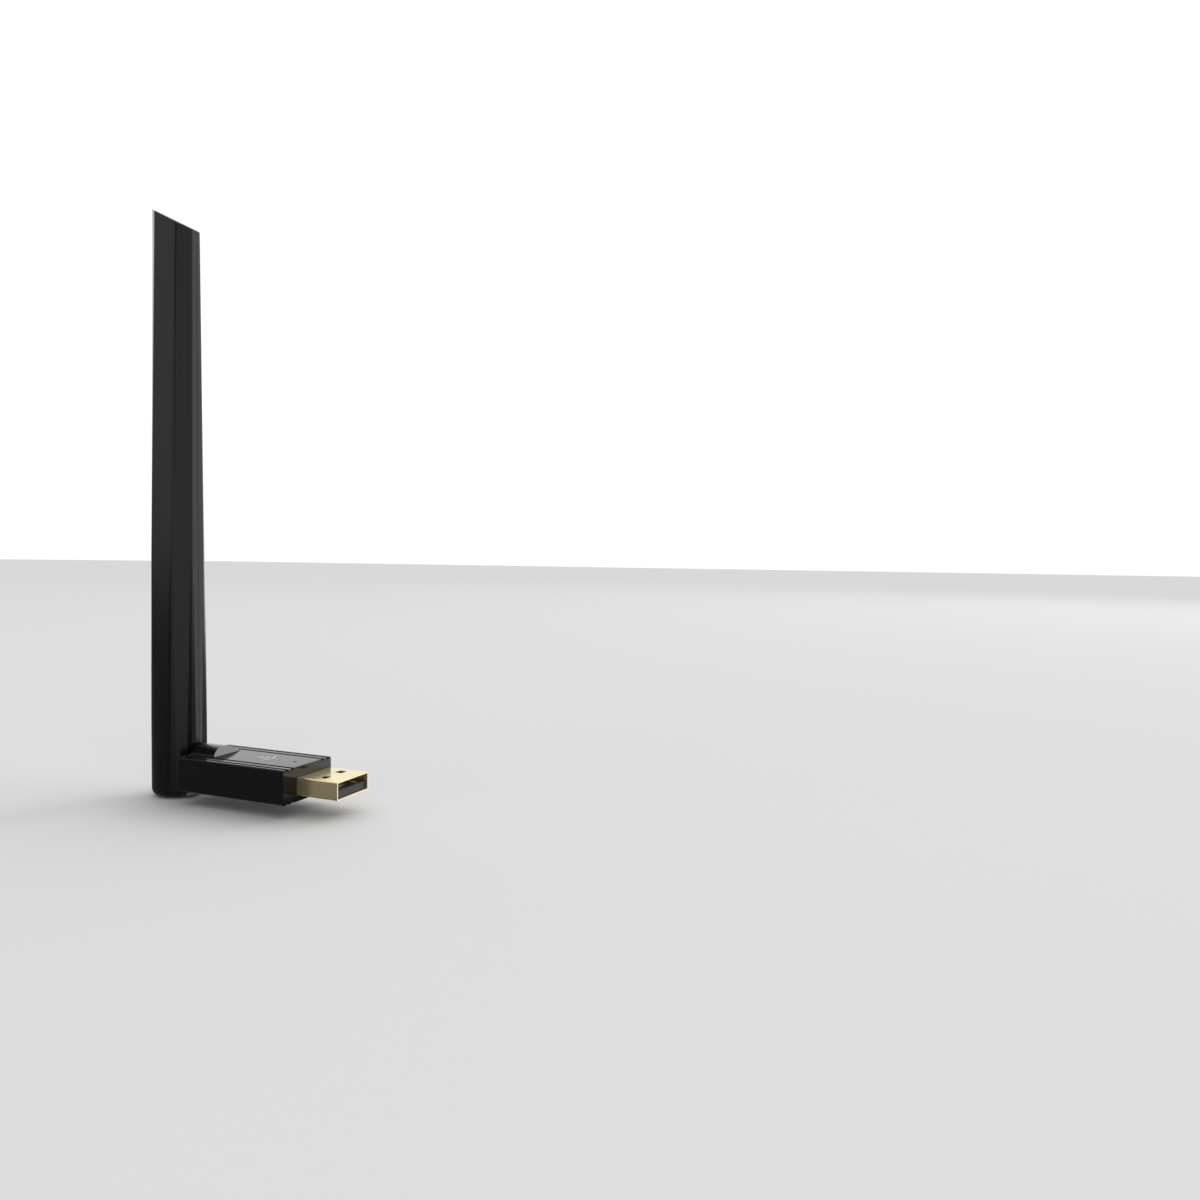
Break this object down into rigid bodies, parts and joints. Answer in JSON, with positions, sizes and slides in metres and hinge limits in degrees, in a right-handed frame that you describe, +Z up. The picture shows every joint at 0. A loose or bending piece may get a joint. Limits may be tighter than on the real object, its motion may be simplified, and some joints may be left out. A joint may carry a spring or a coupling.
{
  "type": "usb wireless adapter",
  "caption": "USB wireless network adapter: glossy black stick housing with a gold-plated USB type A plug and a tall black paddle antenna on a swivel joint.",
  "frame": {"origin": "centre of the USB plug where it leaves the housing's end face", "axes": "+X is the way the plug points, +Z is up along the antenna at rest, +Y is across the housing"},
  "size_m": [0.0612, 0.0173, 0.1534],
  "materials": {
    "housing_gloss": "gloss",
    "plug_gold": "gloss",
    "tongue_plastic": "satin",
    "contact_gold": "gloss",
    "board": "satin",
    "chip": "matte",
    "tin": "satin",
    "clear_plastic": "gloss",
    "capacitor": "matte",
    "lead_jacket": "satin",
    "antenna_plastic": "satin",
    "spring_steel": "satin",
    "copper_foil": "satin",
    "foam": "matte"
  },
  "bodies": {
    "housing": {"main_housing": "housing_gloss", "top_cover": "housing_gloss", "usb_plug_shell": "plug_gold", "usb_tongue": "tongue_plastic", "usb_contact_1": "contact_gold", "usb_contact_2": "contact_gold", "usb_contact_3": "contact_gold", "usb_contact_4": "contact_gold", "main_pcb": "board", "wifi_chip": "chip", "memory_chip": "chip", "crystal": "tin", "regulator": "chip", "power_inductor": "chip", "status_led": "clear_plastic", "decoupling_capacitor_1": "capacitor", "decoupling_capacitor_2": "capacitor", "decoupling_capacitor_3": "capacitor", "decoupling_capacitor_4": "capacitor", "rf_switch_chip": "chip", "shield_can": "tin", "light_pipe": "clear_plastic", "coax_receptacle": "contact_gold", "coax_plug": "contact_gold", "coax_lead_housing": "lead_jacket"},
    "antenna": {"swivel_stem": "antenna_plastic", "retaining_clip": "spring_steel", "wave_washer": "spring_steel", "coax_lead_antenna": "lead_jacket", "antenna_shell_front": "antenna_plastic", "antenna_shell_back": "antenna_plastic", "antenna_board": "board", "dipole_arm_lower": "copper_foil", "dipole_arm_upper": "copper_foil", "foam_pad_lower": "foam", "foam_pad_upper": "foam"}
  },
  "joints": [
    {"name": "antenna_swivel", "type": "hinge", "parent": "housing", "child": "antenna", "pos_m": [-0.0338, -0.00205, 0.0006], "axis": [1, 0, 0], "range_deg": [-90, 90]}
  ]
}
